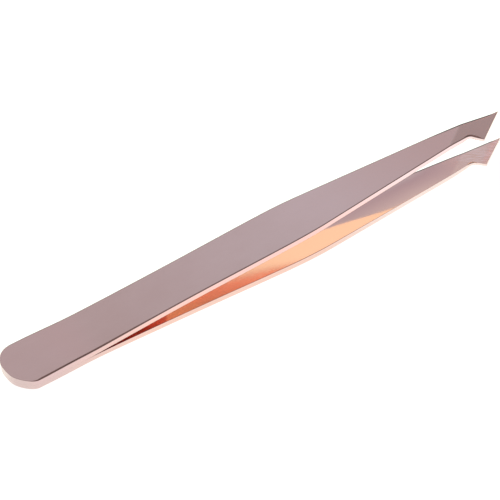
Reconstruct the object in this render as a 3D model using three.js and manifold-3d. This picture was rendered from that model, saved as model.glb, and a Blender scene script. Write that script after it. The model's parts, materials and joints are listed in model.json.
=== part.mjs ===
// Slant tweezers: two bent arms of spring steel, spot-welded together at the heel.
// Millimetres. +X runs from the heel to the tips, +Y across the arms, +Z from the lower arm to the upper one.
// The arms mirror each other in the plane z = 0, and the origin is the centre of the overall box.
// Inside this file x is measured from the heel end, and the finished group is moved back by half its length.

import * as THREE from 'three';
import { mergeVertices } from 'three/addons/utils/BufferGeometryUtils.js';
import Module from 'manifold-3d';

const wasm = await Module();
wasm.setup();

// Overall size
const LENGTH = 95;
const HALF_WIDTH = 4.92;

// Plan outline: a rounded heel, a slight waist, a belly, a straight taper and the slanted tip
const HEEL_ROUND_LENGTH = 4.3;
const SHOULDER = { x: 12.7, halfWidth: 4.69 };
const WAIST = { x: 34, halfWidth: 4.43 };
const BELLY = { x: 50, halfWidth: 4.52 };
const TAPER = { x: 58.3, halfWidth: 4.2 };
const FAR_BEND = { x: 86.5, y: 2.1 };
const FAR_CORNER_Y = 1.15;
const NEAR_CORNER = { x: 89.5, y: -3.1 };
const TAPER_END = { x: 85.8, y: -1.38 };
const NOTCH_START = { x: 87.3, y: -1.24 };
const NOTCH_MIDDLE = { x: 88, y: -1.17 };
const NOTCH_END = { x: 88.3, y: -1.64 };

// Side profile: rise is the height of the inner face over the middle plane, sheet is the metal's thickness
const SHEET = 1;
const WELD_END_X = 11.7;
const BEND_MIDDLE_X = 14.5;
const PARTED = { x: 17.7, rise: 0.16, sheet: SHEET };
const STATIONS = [
  { x: 36.5, rise: 1.04, sheet: 1.1 },
  { x: 55.5, rise: 1.88, sheet: 1.07 },
  { x: 66, rise: 2.21, sheet: 1.01 },
  { x: 78, rise: 2.57, sheet: 0.9 },
];
const NECK_SLOPE = 0.03;
const NECK_SHEET = 0.86;

// Tip: bent inwards about a line parallel to the slanted edge, and thinner towards that edge
const TIP_PLATE_LENGTH = 4.8;
const TIP_OUTER_TURN = THREE.MathUtils.degToRad(8.6);
const TIP_INNER_TURN = THREE.MathUtils.degToRad(4.8);

// Flexing: where each arm bends, and the turn that brings its tip to the middle plane
const FLEX = { x: 26.5, z: 1.03 };
const FLEX_SLIT = 0.3;
const CLOSING_TURN = THREE.MathUtils.degToRad(2.3);
const CLOSED_CLEARANCE = 0.02;

// Spot welds
const NUGGET_RADIUS = 1.7;
const NUGGET_THICKNESS = 0.5;
const NUGGET_GAP = 0.3;
const REAR_NUGGET_X = 4;
const FRONT_NUGGET_X = 8.8;

const CURVE_SEGMENTS = 12;
const NUGGET_SEGMENTS = 32;
const TOOL_SIZE = 100;
const MARGIN = 5;

// ---- From geometries to solids and back ----

function toSolid(geometry) {
  const bare = geometry.clone();
  bare.deleteAttribute('normal');
  bare.deleteAttribute('uv');
  const merged = mergeVertices(bare);
  return new wasm.Manifold(new wasm.Mesh({
    numProp: 3,
    vertProperties: new Float32Array(merged.attributes.position.array),
    triVerts: new Uint32Array(merged.index.array),
  }));
}

function toGeometry(solid) {
  const mesh = solid.getMesh();
  const geometry = new THREE.BufferGeometry();
  geometry.setAttribute('position', new THREE.BufferAttribute(mesh.vertProperties, 3));
  geometry.setIndex(new THREE.BufferAttribute(mesh.triVerts, 1));
  geometry.computeVertexNormals();
  return geometry;
}

function extrude(shape, depth) {
  return new THREE.ExtrudeGeometry(shape, {
    depth,
    bevelEnabled: false,
    curveSegments: CURVE_SEGMENTS,
  });
}

// A section drawn in x and z, swept right across the arm
function sweepAcross(section) {
  const width = 2 * (HALF_WIDTH + MARGIN);
  const geometry = extrude(section, width);
  geometry.rotateX(Math.PI / 2);
  geometry.translate(0, width / 2, 0);
  return toSolid(geometry);
}

// Everything between two stations along the arm
function sliceBetween(fromX, toX) {
  const geometry = new THREE.BoxGeometry(toX - fromX, TOOL_SIZE, TOOL_SIZE);
  geometry.translate((fromX + toX) / 2, 0, 0);
  return toSolid(geometry);
}

// Everything under a plane: the placement's z axis is the plane's normal, and its origin lies on the plane
function under(placement) {
  const geometry = new THREE.BoxGeometry(2 * TOOL_SIZE, 2 * TOOL_SIZE, TOOL_SIZE);
  geometry.translate(0, 0, -TOOL_SIZE / 2);
  geometry.applyMatrix4(placement);
  return toSolid(geometry);
}

// ---- The stamped outline, seen from above ----

function planOutline() {
  const side = [SHOULDER, WAIST, BELLY, TAPER];
  const shape = new THREE.Shape();
  shape.moveTo(HEEL_ROUND_LENGTH, HALF_WIDTH);
  shape.absellipse(
    HEEL_ROUND_LENGTH, 0,
    HEEL_ROUND_LENGTH, HALF_WIDTH,
    Math.PI / 2, 3 * Math.PI / 2,
  );
  shape.splineThru(side.map((point) => new THREE.Vector2(point.x, -point.halfWidth)));
  shape.lineTo(TAPER_END.x, TAPER_END.y);
  shape.lineTo(NOTCH_START.x, NOTCH_START.y);
  shape.quadraticCurveTo(NOTCH_MIDDLE.x, NOTCH_MIDDLE.y, NOTCH_END.x, NOTCH_END.y);
  shape.lineTo(NEAR_CORNER.x, NEAR_CORNER.y);
  shape.lineTo(LENGTH, FAR_CORNER_Y);
  shape.lineTo(FAR_BEND.x, FAR_BEND.y);
  shape.lineTo(TAPER.x, TAPER.halfWidth);
  const back = side.slice(0, -1).reverse().map((point) => new THREE.Vector2(point.x, point.halfWidth));
  shape.splineThru([...back, new THREE.Vector2(HEEL_ROUND_LENGTH, HALF_WIDTH)]);
  return shape;
}

// ---- The bent side profile ----

const neckStart = STATIONS[STATIONS.length - 1];
const endX = LENGTH + MARGIN;

function neckRise(x) {
  return neckStart.rise + (x - neckStart.x) * NECK_SLOPE;
}

// The region under one face of the arm: height(station) gives that face's height over the middle plane
function regionUnder(height, flatHeight, endHeight) {
  const shape = new THREE.Shape();
  shape.moveTo(-MARGIN, -MARGIN);
  shape.lineTo(endX, -MARGIN);
  shape.lineTo(endX, endHeight);
  const points = [PARTED, ...STATIONS].reverse();
  shape.lineTo(points[0].x, height(points[0]));
  shape.splineThru(points.slice(1).map((station) => new THREE.Vector2(station.x, height(station))));
  shape.quadraticCurveTo(BEND_MIDDLE_X, flatHeight, WELD_END_X, flatHeight);
  shape.lineTo(-MARGIN, flatHeight);
  return shape;
}

function regionUnderInnerFace() {
  return regionUnder((station) => station.rise, 0, neckRise(endX));
}

function regionUnderOuterFace() {
  return regionUnder((station) => station.rise + station.sheet, SHEET, neckRise(endX) + NECK_SHEET);
}

// ---- The tip's planes ----

const slant = new THREE.Vector2(LENGTH - NEAR_CORNER.x, FAR_CORNER_Y - NEAR_CORNER.y);
const slantAngle = slant.angle();
const tipBend = new THREE.Vector2(LENGTH, FAR_CORNER_Y).add(
  new THREE.Vector2(-Math.sin(slantAngle), Math.cos(slantAngle)).multiplyScalar(TIP_PLATE_LENGTH),
);

// A plane that leaves the neck's face at the bend line, at a height over the neck's inner face, and turns inwards
function tipPlane(height, turn) {
  const rise = neckRise(tipBend.x) + height;
  return new THREE.Matrix4()
    .makeTranslation(tipBend.x, tipBend.y, rise)
    .multiply(new THREE.Matrix4().makeRotationY(-Math.atan(NECK_SLOPE)))
    .multiply(new THREE.Matrix4().makeRotationZ(slantAngle))
    .multiply(new THREE.Matrix4().makeRotationX(turn));
}

// The plane that comes to lie on the middle plane when the arm closes
function meetingPlane() {
  return new THREE.Matrix4()
    .makeTranslation(FLEX.x, 0, FLEX.z)
    .multiply(new THREE.Matrix4().makeRotationY(-CLOSING_TURN))
    .multiply(new THREE.Matrix4().makeTranslation(0, 0, CLOSED_CLEARANCE - FLEX.z));
}

// ---- One whole arm, as the upper one ----

function arm() {
  const height = 3 * MARGIN;
  const blank = toSolid(extrude(planOutline(), height));
  const bent = blank.intersect(sweepAcross(regionUnderOuterFace()));
  const outerTip = under(tipPlane(NECK_SHEET, TIP_OUTER_TURN));
  const innerSpace = sweepAcross(regionUnderInnerFace()).intersect(under(tipPlane(0, TIP_INNER_TURN)));
  const ground = under(meetingPlane()).intersect(sliceBetween(neckStart.x, endX));
  return bent.intersect(outerTip).subtract(innerSpace).subtract(ground);
}

function disc(radius, thickness, x) {
  const geometry = new THREE.CylinderGeometry(radius, radius, thickness, NUGGET_SEGMENTS);
  geometry.rotateX(Math.PI / 2);
  geometry.translate(x, 0, 0);
  return geometry;
}

function nuggetPocket(x) {
  return toSolid(disc(NUGGET_RADIUS + NUGGET_GAP, NUGGET_THICKNESS + 2 * NUGGET_GAP, x));
}

// ---- Assembly ----

function goldMaterial() {
  return new THREE.MeshStandardMaterial({ color: 0xc9a09c, metalness: 1, roughness: 0.15 });
}

function weldMaterial() {
  return new THREE.MeshStandardMaterial({ color: 0x8c8a88, metalness: 1, roughness: 0.5 });
}

function named(name, geometry, material) {
  const mesh = new THREE.Mesh(geometry, material);
  mesh.name = name;
  return mesh;
}

const wholeArm = arm();
const root = wholeArm
  .intersect(sliceBetween(-MARGIN, FLEX.x - FLEX_SLIT / 2))
  .subtract(nuggetPocket(REAR_NUGGET_X))
  .subtract(nuggetPocket(FRONT_NUGGET_X));
const blade = wholeArm.intersect(sliceBetween(FLEX.x + FLEX_SLIT / 2, endX));

const tweezers = new THREE.Group();
for (const [side, mirror] of [['upper', 1], ['lower', -1]]) {
  const armGroup = new THREE.Group();
  armGroup.add(named(`${side}_arm_root`, toGeometry(root), goldMaterial()));
  armGroup.add(named(`${side}_arm_blade`, toGeometry(blade), goldMaterial()));
  armGroup.scale.z = mirror;
  tweezers.add(armGroup);
}
for (const [place, x] of [['rear', REAR_NUGGET_X], ['front', FRONT_NUGGET_X]]) {
  tweezers.add(named(`weld_nugget_${place}`, disc(NUGGET_RADIUS, NUGGET_THICKNESS, x), weldMaterial()));
}
tweezers.position.x = -LENGTH / 2;

export default tweezers;
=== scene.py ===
"""Slant tweezers in polished rose gold, lying on a plain white table in soft studio light."""

import json
import math

import bpy
import numpy as np
from mathutils import Matrix, Vector


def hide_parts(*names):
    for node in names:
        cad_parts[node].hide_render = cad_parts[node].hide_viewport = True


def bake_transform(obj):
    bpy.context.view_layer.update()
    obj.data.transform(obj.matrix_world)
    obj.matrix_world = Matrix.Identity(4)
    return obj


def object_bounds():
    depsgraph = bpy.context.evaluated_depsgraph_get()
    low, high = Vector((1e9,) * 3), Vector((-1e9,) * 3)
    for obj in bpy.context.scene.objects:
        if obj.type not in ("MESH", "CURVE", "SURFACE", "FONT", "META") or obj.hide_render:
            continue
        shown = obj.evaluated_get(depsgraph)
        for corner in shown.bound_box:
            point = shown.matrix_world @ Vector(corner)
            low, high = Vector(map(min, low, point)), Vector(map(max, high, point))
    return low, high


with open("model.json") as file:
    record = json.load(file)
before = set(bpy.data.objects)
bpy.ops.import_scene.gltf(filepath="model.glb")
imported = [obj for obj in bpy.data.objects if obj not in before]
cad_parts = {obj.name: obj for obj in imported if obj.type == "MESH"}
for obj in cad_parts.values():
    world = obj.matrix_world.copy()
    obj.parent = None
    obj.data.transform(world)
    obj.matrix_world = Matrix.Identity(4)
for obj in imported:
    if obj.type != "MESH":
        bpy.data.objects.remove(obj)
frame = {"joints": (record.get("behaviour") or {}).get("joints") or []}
cad_low, cad_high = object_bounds()
MM = 0.001


# ---- Camera ----

CAMERA_AZIMUTH = math.radians(25.61)
CAMERA_ELEVATION = math.radians(43.46)
CAMERA_ROLL = math.radians(-8.15)
CAMERA_DISTANCE = 0.6922
CAMERA_LENS = 308.2
CAMERA_AIM = Vector((-1.04, 0.93, 0)) * MM
SENSOR_WIDTH = 36
CLIP_NEAR = 0.01
CLIP_FAR = 20


def add_camera():
    ahead = Vector((math.sin(CAMERA_AZIMUTH), math.cos(CAMERA_AZIMUTH), 0))
    level = Vector((math.cos(CAMERA_AZIMUTH), -math.sin(CAMERA_AZIMUTH), 0))
    upright = ahead * math.sin(CAMERA_ELEVATION) + Vector((0, 0, math.cos(CAMERA_ELEVATION)))
    right = level * math.cos(CAMERA_ROLL) + upright * math.sin(CAMERA_ROLL)
    up = upright * math.cos(CAMERA_ROLL) - level * math.sin(CAMERA_ROLL)
    back = right.cross(up)
    camera = bpy.data.objects.new("camera", bpy.data.cameras.new("camera"))
    camera.data.lens = CAMERA_LENS
    camera.data.sensor_width = SENSOR_WIDTH
    camera.data.clip_start = CLIP_NEAR
    camera.data.clip_end = CLIP_FAR
    turned = Matrix((right, up, back)).transposed()
    camera.matrix_world = Matrix.Translation(CAMERA_AIM + back * CAMERA_DISTANCE) @ turned.to_4x4()
    bpy.context.scene.collection.objects.link(camera)
    bpy.context.scene.camera = camera


# ---- The arm's outline from above, in millimetres, x from the heel end of the CAD box ----

LENGTH = (cad_high.x - cad_low.x) / MM
HALF_WIDTH = (cad_high.y - cad_low.y) / 2 / MM

# The heel is round and ends a little off the middle.
HEEL_END = 0.62
HEEL_SHIFT = 0.22
HEEL_ROUND = 4.3
HEEL_SKEW = 0.04

# Its near side goes part of the way from an ellipse to a straight slanting cut.
TRIM_START = 1.8
TRIM_RUN = 0.96
TRIM_SOFTNESS = 0.8
TRIM_SHARE = 0.38

# The handle's half width at a few places, and how fast it changes there.
SIDE_X = (HEEL_ROUND, 12.7, 34, 50, 58.3)
SIDE_HALF_WIDTH = (HALF_WIDTH, 4.69, 4.43, 4.52, 4.2)
SIDE_SLOPE = (0, -0.021, 0, 0, -0.09)

# The corners of the neck and the tip.
FAR_BEND = (86.5, 2.1)
FAR_CORNER = (LENGTH, 1.15)
TAPER_END = (85.8, -1.38)
NOTCH_START = (87.3, -1.24)
NOTCH_MIDDLE = (88, -1.17)
NOTCH_END = (88.3, -1.64)
NEAR_CORNER = (89.5, -3.1)
CORNER_ROUND = 0.05

# ---- The arm's side profile ----

# The sheet's thickness. The very end of the heel is thinner, which fades out by HEEL_FULL.
HEEL_SHEET = 1.0
HEEL_THINNING = 0.12
HEEL_FULL = 10
HANDLE_SHEET = 1.1
NECK_SHEET = 0.86
THICKENING = (12, 36)
THINNING = (50, 88)

# The inner face lies on the middle plane up to the weld's end, and then opens.
WELD_END = 11.7
PARTED = 17.7
HANDLE_SLOPE = 0.0462
EASING = (43, 64)
NECK_SLOPE = 0.03

# The inner face is ground away a little and dished across its width.
GROUND_AWAY = 0.07
GRINDING = (14, 34)
FADING = (68, 86)
HANDLE_HOLLOW = 0.021
NECK_HOLLOW = 0.022
HOLLOWING = (16, 30)
HOLLOW_CHANGE = (48, 66)
FLATTENING = (76, 88)

# ---- The tip: a plate bent inwards along a line parallel to the slanted edge ----

TIP_PLATE = 4.8
TIP_OUTER_TURN = math.radians(8.6)
TIP_INNER_TURN = math.radians(4.8)
TIP_BEND_SOFTNESS = 0.3
LAND_SOFTNESS = 0.02

SLANT = np.subtract(FAR_CORNER, NEAR_CORNER) / math.dist(FAR_CORNER, NEAR_CORNER)
TIPWARDS = np.array((SLANT[1], -SLANT[0]))
SLANT_RUN = SLANT[0] / SLANT[1]
TIP_AXIS_X = FAR_CORNER[0] - FAR_CORNER[1] * SLANT_RUN

# ---- The place where the upper arm flexes, and the turn that closes the tips ----

flex = next(joint for joint in frame["joints"] if joint["name"] == "upper_arm_flex")
FLEX_X = (flex["pos_m"][0] - cad_low.x) / MM
FLEX_Z = flex["pos_m"][2] / MM
CLOSING_TURN = math.radians(flex["range_deg"][1])
CLOSED_CLEARANCE = 0.02

# ---- The edges ----

# A width or slope that changes along the arm is its first value, then (amount, from x, to x) for each change.
OUTER_NEAR_WIDTH = (0.3, (-0.12, 14, 30), (-0.04, 30, 70), (0.15, 86.4, 87.6))
OUTER_FAR_WIDTH = (0.16, (0.26, 80, 88))
OUTER_BEVEL_SLOPE = (0.2, (0.17, 82, 87))
OUTER_LEAST_WIDTH = 0.04
OUTER_GROWING = (HEEL_ROUND - 2.2, HEEL_ROUND + 0.4)
OUTER_TIP_GROWING = (-0.2, 1.4)
OUTER_DROP = 0.8

# The seam is flush along the weld. Its near edge is fully rounded from SEAM_PARTED on the upper arm and
# from SEAM_CLOSE on the lower one.
SEAM_WIDTH = 0.006
SEAM_PARTED = 17
SEAM_CLOSE = 26
INNER_NEAR_OPENED = 0.104
INNER_NEAR_CHANGES = ((-0.05, 58, 76), (-0.03, 80, 87))
INNER_FAR_WIDTH = (SEAM_WIDTH, (0.064, WELD_END - 2, PARTED), (-0.04, 70, 88))
INNER_TIP_GROWING = (0, 1.2)
INNER_BEVEL_SLOPE = 0.3
INNER_NEAR_DROP = 2.2
FAR_BEVEL = 0.26
FAR_BEVELLING = (64, 76)
NOTCH_BEVEL = 0.28
NOTCH_BEVELLING = (86.6, 87.3)
NOTCH_FADING = (87.9, 88.6)
NOTCH_FLATTER = 0.6

# ---- The mesh ----

HEEL_POINTS = 120
SAMPLE_GAP = 0.1

# Stations are lines across the arm: square to it at first, parallel to the slanted edge after LEANING, and
# closer together from FINE_FROM on and in the last stretch before the slanted edge.
LEANING = (64, 82)
STATION_REACH = 9
HALVINGS = 48
HEEL_STATIONS = 26
STATION_GAP = 0.25
FINE_FROM = 83
FINE_GAP = 0.08
LAST_RUN = 0.2
LAST_STATIONS = 9
LAST_CROWDING = 1.5

# The grid across a face, and the rings around its edge.
ACROSS = 18
ROUND_STEPS = 8
WALL_STEPS = 2
HOLD = 0.04
BEVEL_STEPS = 4
BEVEL_CORNER = 0.02
LEAST_SPREAD = 0.5

# How far each line of the grid across a face is from the near side, as a share of the width.
SHARES = np.linspace(0, 1, ACROSS + 1)[1:-1, None]


def smooth(value, start, end):
    """0 before start, 1 after end, and an even S between them."""
    t = np.clip((value - start) / (end - start), 0, 1)
    return t * t * (3 - 2 * t)


def smooth_area(value, start, end):
    """The area under smooth(), from start to value."""
    t = np.clip((value - start) / (end - start), 0, 1)
    return (t**3 - t**4 / 2) * (end - start) + np.maximum(value - end, 0)


def changing(x, first, *changes):
    """A value that is first at the heel and changes smoothly by each amount between two places."""
    value = first
    for amount, start, end in changes:
        value = value + amount * smooth(x, start, end)
    return value


def soft_max(a, b, softness):
    """The greater of a and b, rounded where they cross."""
    return (a + b + np.sqrt((a - b) ** 2 + softness**2)) / 2


def hermite(x, knots, heights, slopes):
    """A smooth curve through knots with the slopes given there."""
    k = np.clip(np.searchsorted(knots, x) - 1, 0, len(knots) - 2)
    knots, heights, slopes = map(np.asarray, (knots, heights, slopes))
    span = knots[k + 1] - knots[k]
    t = (x - knots[k]) / span
    start = (1 + 2 * t) * (1 - t) ** 2 * heights[k] + t * (1 - t) ** 2 * slopes[k] * span
    end = t * t * (3 - 2 * t) * heights[k + 1] + t * t * (t - 1) * slopes[k + 1] * span
    return start + end


def arc_through(start, middle, end, steps=24):
    """A curve from start to end that is pulled towards middle."""
    t = np.linspace(0, 1, steps)[:, None]
    start, middle, end = map(np.asarray, (start, middle, end))
    return (1 - t) ** 2 * start + 2 * t * (1 - t) * middle + t * t * end


def heel_sides():
    """The far and near halves of the heel's round end."""
    turn = np.linspace(0, math.pi / 2, HEEL_POINTS)
    x = HEEL_END + (HEEL_ROUND - HEEL_END) * (1 - np.cos(turn))
    skew = HEEL_SKEW * HALF_WIDTH * np.sin(2 * turn)
    far_x = np.maximum.accumulate(np.maximum(x - skew, HEEL_END))
    far_y = np.minimum(HALF_WIDTH * np.sin(turn) + HEEL_SHIFT * np.cos(turn), HALF_WIDTH)
    near_y = HEEL_SHIFT - (HALF_WIDTH + HEEL_SHIFT) * np.sin(turn)
    trimmed = soft_max(0, (-near_y - TRIM_START) * TRIM_RUN, TRIM_SOFTNESS)
    near_x = x + (HEEL_END + trimmed - trimmed[0] - x) * TRIM_SHARE
    return np.stack([far_x, far_y], 1), np.stack([near_x, near_y], 1)


def side_curves():
    """The far and near sides of the outline, each as a line of points with x growing."""
    far_heel, near_heel = heel_sides()
    x = np.arange(HEEL_ROUND + SAMPLE_GAP, SIDE_X[-1], SAMPLE_GAP)
    handle = np.stack([x, hermite(x, SIDE_X, SIDE_HALF_WIDTH, SIDE_SLOPE)], 1)
    handle = np.vstack([handle, (SIDE_X[-1], SIDE_HALF_WIDTH[-1])])
    notch = arc_through(NOTCH_START, NOTCH_MIDDLE, NOTCH_END)
    far = np.vstack([far_heel, handle, FAR_BEND, FAR_CORNER])
    near = np.vstack([near_heel, handle * (1, -1), TAPER_END, notch, NEAR_CORNER])
    return far, near


def station_run(axis_x):
    """How much a station's line leans, as x per y: not at all at first, like the slanted edge at the tip."""
    return SLANT_RUN * smooth(axis_x, *LEANING)


def station_ends(axis_x, side, corner_sign):
    """Where each station's line meets one side of the outline."""
    run = station_run(axis_x)
    low, high = axis_x - STATION_REACH, axis_x + STATION_REACH
    for _ in range(HALVINGS):
        middle = (low + high) / 2
        past = middle - np.interp(middle, side[:, 0], side[:, 1]) * run > axis_x
        low, high = np.where(past, low, middle), np.where(past, middle, high)
    y = np.interp(low, side[:, 0], side[:, 1])
    ends = np.stack([axis_x + y * run, y], 1)
    behind = (TIP_AXIS_X - axis_x) * SLANT[1]
    pull = CORNER_ROUND * np.clip(1 - behind / CORNER_ROUND, 0, 1) ** 2
    return ends - corner_sign * pull[:, None] * SLANT


def stations():
    """Where the stations cross the arm's axis, closer together where the shape turns."""
    turn = np.linspace(0, math.pi / 2, HEEL_STATIONS)
    heel = HEEL_END + (HEEL_ROUND - HEEL_END) * (1 - np.cos(turn))
    handle = np.arange(HEEL_ROUND + STATION_GAP, FINE_FROM, STATION_GAP)
    tip = np.arange(FINE_FROM, TIP_AXIS_X - LAST_RUN, FINE_GAP)
    edge = TIP_AXIS_X - LAST_RUN * np.linspace(1, 0, LAST_STATIONS) ** LAST_CROWDING
    return np.concatenate([heel, handle, tip, edge])


def rise(x):
    """Height of the inner face over the middle plane, before the tip's bend."""
    opened = HANDLE_SLOPE * smooth_area(x, WELD_END, PARTED)
    return opened - (HANDLE_SLOPE - NECK_SLOPE) * smooth_area(x, *EASING)


def behind_slant(x, y):
    """How far a point lies behind the slanted edge."""
    return (FAR_CORNER[0] - x) * TIPWARDS[0] + (FAR_CORNER[1] - y) * TIPWARDS[1]


def past_bend(x, y):
    """How far a point lies past the tip's bend line, eased over the bend's softness."""
    past = TIP_PLATE - behind_slant(x, y)
    eased = (past + TIP_BEND_SOFTNESS) ** 2 / (4 * TIP_BEND_SOFTNESS)
    return np.where(past > TIP_BEND_SOFTNESS, past, np.where(past < -TIP_BEND_SOFTNESS, 0, eased))


def meeting_height(x):
    """Height at rest of the plane that lies on the middle plane when the arm is closed."""
    lever = (x - FLEX_X) * math.sin(CLOSING_TURN)
    return FLEX_Z + (CLOSED_CLEARANCE - FLEX_Z + lever) / math.cos(CLOSING_TURN)


def outer_height(x, y):
    """Height of the outer face over the middle plane."""
    sheet = HEEL_SHEET + (HANDLE_SHEET - HEEL_SHEET) * smooth(x, *THICKENING)
    thinner = (HANDLE_SHEET - NECK_SHEET) * smooth(x, *THINNING)
    sheet -= thinner + HEEL_THINNING * (1 - smooth(x, 0, HEEL_FULL))
    return rise(x) + sheet - past_bend(x, y) * math.tan(TIP_OUTER_TURN)


def hollow(x, y):
    """How far the inner face is dished across its width."""
    far, near = (np.interp(x, side[:, 0], side[:, 1]) for side in side_curves())
    middle, half = (far + near) / 2, np.maximum((far - near) / 2, CORNER_ROUND)
    share = HANDLE_HOLLOW - (HANDLE_HOLLOW - NECK_HOLLOW) * smooth(x, *HOLLOW_CHANGE)
    depth = half * share * smooth(x, *HOLLOWING) * (1 - smooth(x, *FLATTENING))
    return depth * np.clip(1 - ((y - middle) / half) ** 2, 0, 1)


def inner_height(x, y):
    """Height of the inner face over the middle plane. The tip's land is ground to meet the other arm's."""
    ground_away = GROUND_AWAY * smooth(x, *GRINDING) * (1 - smooth(x, *FADING))
    bent = rise(x) + ground_away + hollow(x, y) - past_bend(x, y) * math.tan(TIP_INNER_TURN)
    ground = soft_max(bent, meeting_height(x), LAND_SOFTNESS)
    return np.where(x > THINNING[0], ground, bent)


def edge_rings(width, roundness, bevelled, slope):
    """Inset and drop of each ring of an edge, from rounded (bevelled is 0) to bevelled (bevelled is 1)."""
    rings = []
    for step in range(ROUND_STEPS + 1):
        turn = math.pi / 2 * step / ROUND_STEPS
        round_inset, round_drop = width * (1 - math.sin(turn)), width * roundness * (1 - math.cos(turn))
        if step <= BEVEL_STEPS:
            bevel_inset = width - (width - BEVEL_CORNER) * step / BEVEL_STEPS
            bevel_drop = (width - bevel_inset) * slope
        else:
            turn = math.pi / 2 * (step - BEVEL_STEPS) / (ROUND_STEPS - BEVEL_STEPS)
            bevel_inset = BEVEL_CORNER * (1 - math.sin(turn))
            bevel_drop = (width - BEVEL_CORNER) * slope + BEVEL_CORNER * (1 - math.cos(turn))
            bevel_drop += BEVEL_CORNER * slope * (math.sin(turn) - (1 - math.cos(turn)))
        ring_inset = round_inset + (bevel_inset - round_inset) * bevelled
        ring_drop = round_drop + (bevel_drop - round_drop) * bevelled
        rings.append((ring_inset, ring_drop))
    return rings


def outer_edge(x, y):
    """The rings of the outer face's edge: rounded on the near side, bevelled on the far side."""
    grown = smooth(x, *OUTER_GROWING) * smooth(behind_slant(x, y), *OUTER_TIP_GROWING)
    widths = np.where(y < 0, changing(x, *OUTER_NEAR_WIDTH), changing(x, *OUTER_FAR_WIDTH))
    bevelled = np.where(y > 0, grown, 0)
    slope = changing(x, *OUTER_BEVEL_SLOPE)
    return edge_rings(OUTER_LEAST_WIDTH + grown * widths, OUTER_DROP, bevelled, slope)


def inner_edge(x, y, parted):
    """The rings of the inner face's edge: next to no rounding along the weld, where the seam is flush."""
    near = changing(x, SEAM_WIDTH, (INNER_NEAR_OPENED, WELD_END, parted), *INNER_NEAR_CHANGES)
    softened = np.where(y < 0, near, changing(x, *INNER_FAR_WIDTH))
    grown = smooth(behind_slant(x, y), *INNER_TIP_GROWING)
    far = np.where(y > 0, grown * smooth(x, *FAR_BEVELLING), 0)
    notch = np.where(y < 0, grown * smooth(x, *NOTCH_BEVELLING) * (1 - smooth(x, *NOTCH_FADING)), 0)
    drop = np.where(y < 0, INNER_NEAR_DROP * (1 - NOTCH_FLATTER * notch), 1)
    return edge_rings(softened + FAR_BEVEL * far + NOTCH_BEVEL * notch, drop, far, INNER_BEVEL_SLOPE)


def inset(loop, distance):
    """Moves each point of a closed anticlockwise loop inwards by its distance."""
    ahead = np.roll(loop, -1, 0) - loop
    ahead /= np.linalg.norm(ahead, axis=1)[:, None]
    behind = np.roll(ahead, 1, 0)
    inwards = np.stack([-(ahead + behind)[:, 1], (ahead + behind)[:, 0]], 1)
    inwards /= np.linalg.norm(inwards, axis=1)[:, None]
    spread = np.abs(np.sum(inwards * np.stack([-ahead[:, 1], ahead[:, 0]], 1), 1))
    return loop + inwards * (distance / np.maximum(spread, LEAST_SPREAD))[:, None]


def outline_loop():
    """The outline as one closed anticlockwise loop, and how many of its points the near side has."""
    far, near = side_curves()
    axis_x = stations()
    near_ends = station_ends(axis_x, near, -1)
    far_ends = station_ends(axis_x, far, 1)
    near_ends[0] = far_ends[0] = (HEEL_END, HEEL_SHIFT)
    slanted_edge = near_ends[-1] * (1 - SHARES) + far_ends[-1] * SHARES
    return np.vstack([near_ends, slanted_edge, far_ends[:0:-1]]), len(axis_x)


def edge_points(loop, rings, height, direction):
    """The rings of points at a face's edge: first one just inside it, which holds the face flat."""
    held = inset(loop, rings[0][0] + HOLD)
    points = [np.column_stack([held, height(*held.T)])]
    for width, drop in rings:
        ring = inset(loop, width)
        points.append(np.column_stack([ring, height(*ring.T) + direction * drop]))
    return points


def grid_points(ring, count, height):
    """The points inside a ring, in rows that run from its near side to its far side."""
    near_row, far_row = ring[1:count - 1, :2], ring[:count + ACROSS - 1:-1, :2][:count - 2]
    inside = near_row[:, None] * (1 - SHARES) + far_row[:, None] * SHARES
    flat = inside.reshape(-1, 2)
    return np.column_stack([flat, height(*flat.T)])


def grid_faces(ring_start, grid_start, size, count):
    """The faces between a ring of size points, count of them on the near side, and the grid inside it."""
    def corner(i, j):
        if i == 0:
            return ring_start
        if j == 0:
            return ring_start + i
        if i == count - 1:
            return ring_start + count - 1 + j
        if j == ACROSS:
            return ring_start + size - i
        return grid_start + (i - 1) * (ACROSS - 1) + j - 1

    faces = []
    for i in range(count - 1):
        for j in range(ACROSS):
            face = (corner(i, j), corner(i + 1, j), corner(i + 1, j + 1), corner(i, j + 1))
            faces.append(tuple(dict.fromkeys(face)))
    return faces


def arm_mesh(name, side):
    """One whole arm as a closed mesh: side is 1 for the upper arm and -1 for the lower one, its mirror."""
    loop, count = outline_loop()
    size = len(loop)
    inner_rings = inner_edge(*loop.T, SEAM_PARTED if side > 0 else SEAM_CLOSE)
    inner_points = edge_points(loop, inner_rings, inner_height, 1)[::-1]
    points = edge_points(loop, outer_edge(*loop.T), outer_height, -1)
    wall = (inner_points[0] - points[-1]) / WALL_STEPS
    points += [points[-1] + wall * step for step in range(1, WALL_STEPS)]
    points += inner_points
    outer_grid = grid_points(points[0], count, outer_height)
    inner_grid = grid_points(points[-1], count, inner_height)

    faces = []
    for ring in range(len(points) - 1):
        for k in range(size):
            here, following = ring * size + k, ring * size + (k + 1) % size
            faces.append((here, here + size, following + size, following))
    last_ring, grid_start = (len(points) - 1) * size, len(points) * size
    faces += grid_faces(0, grid_start, size, count)
    inner_faces = grid_faces(last_ring, grid_start + len(outer_grid), size, count)
    faces += [face[::-1] for face in inner_faces]
    if side < 0:
        faces = [face[::-1] for face in faces]

    vertices = np.vstack([*points, outer_grid, inner_grid]) * (1, 1, side) * MM + (cad_low.x, 0, 0)
    mesh = bpy.data.meshes.new(name)
    mesh.from_pydata(vertices.tolist(), [], faces)
    mesh.validate()
    mesh.polygons.foreach_set("use_smooth", [True] * len(mesh.polygons))
    mesh.update()
    return mesh


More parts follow.
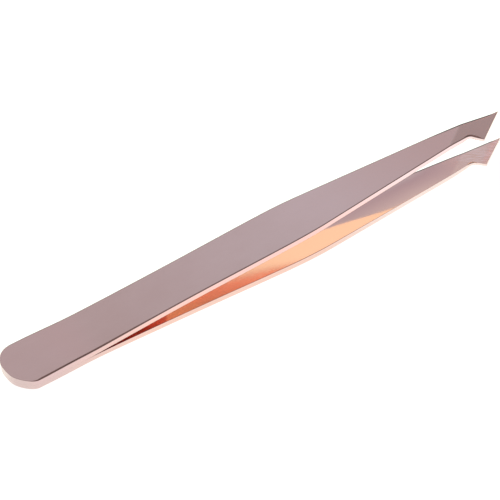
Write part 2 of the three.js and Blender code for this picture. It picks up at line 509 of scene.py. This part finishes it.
def add_arm(name, side):
    arm = bpy.data.objects.new(name, arm_mesh(name, side))
    bpy.context.scene.collection.objects.link(arm)
    return arm


# ---- Materials ----

ROSE_GOLD = (0.9, 0.655, 0.545, 1)
GROUND_FLANK = (0.93, 0.79, 0.72, 1)
# Painted shade: the walls near the heel are coloured darker, for the table's contact shadow that they
# reflect.
HEEL_WALL_PAINTED_SHADE = (0.72, 0.565, 0.53, 1)
PALE_BACK = (0.97, 0.765, 0.665, 1)
GROUND_TIP = (0.97, 0.78, 0.7, 1)
# Painted shade: the inner faces deep in the fork, where light is lost between the arms, are coloured darker
# and redder.
FORK_PAINTED_SHADE = (0.82, 0.51, 0.44, 1)
WELD_STEEL = (0.42, 0.4, 0.39, 1)
POLISH_ROUGHNESS = 0.16
FLANK_ROUGHNESS = 0.24
MIRROR_ROUGHNESS = 0.08
POLISH_ROUGHNESS_RANGE = (POLISH_ROUGHNESS - 0.03, POLISH_ROUGHNESS + 0.03)

# Where each finish and each painted shade sets in along the arm: no trace of it at the first place, all of it
# at the second.
FLANK_FROM = (56, 74)
HEEL_SHADE_FROM = (24, 7)
FORK_SHADE_FROM = (30.2, 29.8)
FORK_SLANT = -0.6
GROUND_TIP_FROM = (85, 89)
PALE_FROM = (20, 60)
PALE_UNTIL = (82, 62)
MIRROR_FROM = (44, 56)
MIRROR_UNTIL = (86, 82)

# A wall of the sheet is told from a face by how upright the normal is, and an outer face from an inner one
# by the normal's z times the height.
WALL_UPRIGHTNESS = (0.75, 0.4)
FACE_UPRIGHTNESS = (0.4, 0.75)
SIDE_MARGIN = 0.002 * MM

# Textures, in waves per metre along x, y and z.
POLISHING_LINES = (60, 9000, 9000)
POLISHING_CLOUDS = (140, 260, 260)
GRINDING_STROKES = (500, 3200, 2000)
MELT_RIPPLES = (2500, 2500, 2500)
STROKE_TURN = math.radians(38)
STROKE_CONTRAST = (0.4, 0.62)
STROKE_RELIEF = 3.0
POLISH_CONTRAST = (0.6, 1.4)
POLISH_RELIEF = 0.12
POLISH_DEPTH = 0.01 * MM
RIPPLE_CONTRAST = (0.3, 0.7)
RIPPLE_ROUGHNESS = (0.4, 0.6)
RIPPLE_RELIEF = 0.4
RIPPLE_DEPTH = 0.05 * MM


def node(tree, kind, **inputs):
    """Adds a shader node and fills in its inputs: a pair (node, output name) links, the rest are values."""
    made = tree.nodes.new(kind)
    for name, value in inputs.items():
        socket = made.inputs[int(name[1:]) if name[1:].isdigit() else name.replace("_", " ")]
        if isinstance(value, tuple) and isinstance(value[0], bpy.types.Node):
            tree.links.new(value[0].outputs[value[1]], socket)
        else:
            socket.default_value = value
    return made


def stretched_noise(tree, place, stretch, detail=2):
    """Noise that is drawn out along an axis."""
    mapping = node(tree, "ShaderNodeMapping", Vector=place, Scale=stretch)
    noise = node(tree, "ShaderNodeTexNoise", Vector=(mapping, "Vector"), Scale=1, Detail=detail)
    return (noise, "Fac")


def remap(tree, source, source_range, result_range):
    """Goes from one end of the result range to the other as source goes through its own range."""
    (low, high), (to_low, to_high) = source_range, result_range
    made = node(tree, "ShaderNodeMapRange", Value=source, From_Min=low, From_Max=high,
                To_Min=to_low, To_Max=to_high)
    return (made, "Result")


def between(tree, source, places):
    """0 at the first place and 1 at the second."""
    return remap(tree, source, places, (0, 1))


def along(tree, source, places):
    """0 at the first place along the arm and 1 at the second."""
    return between(tree, source, [cad_low.x + x * MM for x in places])


def maths(tree, operation, first, second):
    made = node(tree, "ShaderNodeMath", _0=first, _1=second)
    made.operation = operation
    return (made, "Value")


def product(tree, *factors):
    result = factors[0]
    for factor in factors[1:]:
        result = maths(tree, "MULTIPLY", result, factor)
    return result


def mix_colour(tree, amount, first, second):
    """Goes from the first colour to the second as amount goes from 0 to 1."""
    # A mix node's colour sockets go by number, because several of its sockets share a name.
    mix = tree.nodes.new("ShaderNodeMix")
    mix.data_type = "RGBA"
    tree.links.new(amount[0].outputs[amount[1]], mix.inputs["Factor"])
    for socket, colour in ((mix.inputs[6], first), (mix.inputs[7], second)):
        if isinstance(colour, tuple):
            socket.default_value = colour
        else:
            tree.links.new(colour, socket)
    return mix.outputs[2]


def new_metal(name):
    """A metal material: the material, its node tree, its shader and the object's coordinates."""
    material = bpy.data.materials.new(name)
    material.use_nodes = True
    tree = material.node_tree
    shader = tree.nodes["Principled BSDF"]
    shader.inputs["Metallic"].default_value = 1
    return material, tree, shader, tree.nodes.new("ShaderNodeTexCoord")


def rose_gold():
    """Rose-gold plating: paler on the outside and the ground tip, glossier inside the neck, duller walls,
    with painted shade deep in the fork and on the walls near the heel.
    """
    material, tree, shader, coordinates = new_metal("rose_gold")
    place = (coordinates, "Object")
    at = node(tree, "ShaderNodeSeparateXYZ", Vector=place)
    facing = node(tree, "ShaderNodeSeparateXYZ", Vector=(coordinates, "Normal"))
    uprightness = maths(tree, "ABSOLUTE", (facing, "Z"), 0.0)
    wall = between(tree, uprightness, WALL_UPRIGHTNESS)
    face = between(tree, uprightness, FACE_UPRIGHTNESS)
    side = product(tree, (facing, "Z"), (at, "Z"))
    inwards = between(tree, side, (0, -SIDE_MARGIN))
    outwards = between(tree, side, (0, SIDE_MARGIN))

    def stretch(places):
        return along(tree, (at, "X"), places)

    flank = product(tree, wall, stretch(FLANK_FROM))
    # Painted shade on the walls near the heel, darkest at the heel's end.
    trimmed = product(tree, wall, stretch(HEEL_SHADE_FROM))
    # x plus FORK_SLANT times y, so that the painted shade deep in the fork, between the arms, ends on a
    # slant.
    skewed = maths(tree, "MULTIPLY_ADD", (at, "Y"), FORK_SLANT)
    tree.links.new(at.outputs["X"], skewed[0].inputs[2])
    fork_shade = product(tree, face, product(tree, inwards, along(tree, skewed, FORK_SHADE_FROM)))
    back = product(tree, outwards, product(tree, stretch(PALE_FROM), stretch(PALE_UNTIL)), face)
    ground = product(tree, inwards, stretch(GROUND_TIP_FROM))
    mirror = product(tree, stretch(MIRROR_FROM), stretch(MIRROR_UNTIL), product(tree, inwards, face))

    turned = node(tree, "ShaderNodeMapping", Vector=place, Rotation=(0, 0, STROKE_TURN))
    strokes = stretched_noise(tree, (turned, "Vector"), GRINDING_STROKES)
    bared = product(tree, ground, between(tree, strokes, STROKE_CONTRAST))
    colour = mix_colour(tree, back, ROSE_GOLD, PALE_BACK)
    colour = mix_colour(tree, flank, colour, GROUND_FLANK)
    colour = mix_colour(tree, trimmed, colour, HEEL_WALL_PAINTED_SHADE)
    colour = mix_colour(tree, fork_shade, colour, FORK_PAINTED_SHADE)
    colour = mix_colour(tree, bared, colour, GROUND_TIP)
    tree.links.new(colour, shader.inputs["Base Color"])

    lines = stretched_noise(tree, place, POLISHING_LINES)
    clouds = stretched_noise(tree, place, POLISHING_CLOUDS, detail=3)
    roughness = remap(tree, maths(tree, "ADD", lines, clouds), POLISH_CONTRAST, POLISH_ROUGHNESS_RANGE)
    duller = product(tree, wall, FLANK_ROUGHNESS - POLISH_ROUGHNESS)
    glossier = product(tree, mirror, MIRROR_ROUGHNESS - POLISH_ROUGHNESS)
    roughness = maths(tree, "ADD", roughness, maths(tree, "ADD", duller, glossier))
    tree.links.new(roughness[0].outputs["Value"], shader.inputs["Roughness"])

    relief = maths(tree, "ADD", lines, product(tree, product(tree, strokes, ground), STROKE_RELIEF))
    bump = node(tree, "ShaderNodeBump", Strength=POLISH_RELIEF, Distance=POLISH_DEPTH, Height=relief)
    tree.links.new(bump.outputs["Normal"], shader.inputs["Normal"])
    return material


def weld_steel():
    """The fused steel of a spot weld: grey, with the ripples of a melt that has set."""
    material, tree, shader, coordinates = new_metal("weld_steel")
    shader.inputs["Base Color"].default_value = WELD_STEEL
    ripples = stretched_noise(tree, (coordinates, "Object"), MELT_RIPPLES, detail=4)
    roughness = remap(tree, ripples, RIPPLE_CONTRAST, RIPPLE_ROUGHNESS)
    tree.links.new(roughness[0].outputs["Result"], shader.inputs["Roughness"])
    bump = node(tree, "ShaderNodeBump", Strength=RIPPLE_RELIEF, Distance=RIPPLE_DEPTH, Height=ripples)
    tree.links.new(bump.outputs["Normal"], shader.inputs["Normal"])
    return material


# ---- Stage ----

TABLE_SIZE = 6
TABLE_GAP = 0.02 * MM
TABLE_COLOUR = (0.3, 0.3, 0.3, 1)

# The table's painted glow across the arms' width, from the near end of the span (0) to its far end (1):
# dimmer under the object for a painted contact shadow, brightest on the far side for painted light from
# behind.
TABLE_PAINTED_GLOW_SPAN = (-12 * MM, 6 * MM)
TABLE_PAINTED_GLOW = (
    (0.0, (1.1, 0.95, 1.06)),
    (0.2, (1.08, 0.94, 1.03)),
    (0.3, (0.99, 0.93, 0.95)),
    (0.36, (0.97, 0.93, 0.93)),
    (0.45, (0.92, 0.92, 0.92)),
    (0.55, (0.92, 0.92, 0.92)),
    (1.0, (1.22, 1.3, 1.16)),
)

# The room's light from the horizon (0) to straight above (1), on the far side and on the near side.
FAR_SKY = (
    (0.0, (0.1, 0.11, 0.15)),
    (0.35, (0.2, 0.22, 0.27)),
    (0.6, (0.68, 0.65, 0.72)),
    (0.685, (0.46, 0.41, 0.52)),
    (0.715, (0.565, 0.6, 0.72)),
    (0.79, (0.215, 0.185, 0.205)),
    (0.9, (0.13, 0.095, 0.11)),
    (0.95, (0.12, 0.08, 0.09)),
    (0.99, (0.3, 0.23, 0.24)),
)
NEAR_SKY = (
    (0.0, (1.0, 1.0, 1.0)),
    (0.3, (0.9, 0.9, 0.92)),
    (0.6, (0.3, 0.28, 0.3)),
    (0.75, (0.1, 0.08, 0.09)),
    (0.95, (0.1, 0.08, 0.09)),
    (0.99, (0.3, 0.23, 0.24)),
)

# The near side's light gives way to the far side's over this span of the direction's y.
FAR_SIDE = (-0.1, 0.3)

# A warm round panel beyond the tip, on the far side.
PANEL = Vector((0.6, 0.6, 0.53)).normalized()
PANEL_EDGE = (math.cos(math.radians(10.5)), math.cos(math.radians(7.5)))
PANEL_WARM = (1.7, 0.8, 0.58, 1)

# Light passes back and forth many times between the polished inner faces.
BOUNCES = 32


def colour_ramp(tree, share, stops):
    ramp = node(tree, "ShaderNodeValToRGB", Fac=share)
    while len(ramp.color_ramp.elements) < len(stops):
        ramp.color_ramp.elements.new(0.5)
    for element, (place, colour) in zip(ramp.color_ramp.elements, stops):
        element.position = place
        element.color = (*colour, 1)
    return ramp.outputs["Color"]


def table_paint():
    """A matt table that glows, painted light and shade: a little less right under the object than on either
    side of it, as a painted contact shadow, and most on the far side, as painted light from behind.
    """
    material = bpy.data.materials.new("table")
    material.use_nodes = True
    tree = material.node_tree
    shader = tree.nodes["Principled BSDF"]
    shader.inputs["Base Color"].default_value = TABLE_COLOUR
    shader.inputs["Roughness"].default_value = 1
    shader.inputs["Specular IOR Level"].default_value = 0
    shader.inputs["Emission Strength"].default_value = 1
    place = (tree.nodes.new("ShaderNodeNewGeometry"), "Position")
    across = node(tree, "ShaderNodeSeparateXYZ", Vector=place)
    share = between(tree, (across, "Y"), TABLE_PAINTED_GLOW_SPAN)
    tree.links.new(colour_ramp(tree, share, TABLE_PAINTED_GLOW), shader.inputs["Emission Color"])
    return material


def add_table():
    """The table touches the heel and the lower arm's belly, so it leans a little in the object's frame."""
    heel_drop = HEEL_SHEET - HEEL_THINNING
    places = np.arange(WELD_END, LENGTH, SAMPLE_GAP)
    lean = math.atan(np.max((outer_height(places, 0) - heel_drop) / (places - HEEL_END)))
    touching = Vector((cad_low.x + HEEL_END * MM, 0, -heel_drop * MM - TABLE_GAP))
    bpy.ops.mesh.primitive_plane_add(size=TABLE_SIZE)
    table = bpy.context.object
    table.name = "table"
    table.matrix_world = Matrix.Translation(touching) @ Matrix.Rotation(lean, 4, "Y")
    table.data.materials.append(table_paint())


def add_world():
    """A studio: white on the near side, grey on the far side with a warm panel, and dark overhead."""
    world = bpy.data.worlds.new("studio")
    bpy.context.scene.world = world
    world.use_nodes = True
    tree = world.node_tree
    direction = (tree.nodes.new("ShaderNodeTexCoord"), "Generated")
    part = node(tree, "ShaderNodeSeparateXYZ", Vector=direction)
    far_sky = colour_ramp(tree, (part, "Z"), FAR_SKY)
    near_sky = colour_ramp(tree, (part, "Z"), NEAR_SKY)
    sky = mix_colour(tree, between(tree, (part, "Y"), FAR_SIDE), near_sky, far_sky)
    toward = node(tree, "ShaderNodeVectorMath", _0=direction, _1=PANEL)
    toward.operation = "DOT_PRODUCT"
    sky = mix_colour(tree, between(tree, (toward, "Value"), PANEL_EDGE), sky, PANEL_WARM)
    tree.links.new(sky, tree.nodes["Background"].inputs["Color"])


add_camera()
add_world()
add_table()
gold = rose_gold()
steel = weld_steel()
for place_name in ("rear", "front"):
    bpy.data.objects[f"weld_nugget_{place_name}"].data.materials[0] = steel

# Each arm is one built mesh, with its inner face opening from the weld's end on, in place of the CAD's root
# and blade, which are hidden.
for side_name, side in (("upper", 1), ("lower", -1)):
    arm = add_arm(f"{side_name}_arm", side)
    arm.data.materials.append(gold)
    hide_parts(f"{side_name}_arm_root", f"{side_name}_arm_blade")
    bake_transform(arm)

scene = bpy.context.scene
scene.view_settings.view_transform = "Standard"
scene.cycles.max_bounces = BOUNCES
scene.cycles.glossy_bounces = BOUNCES
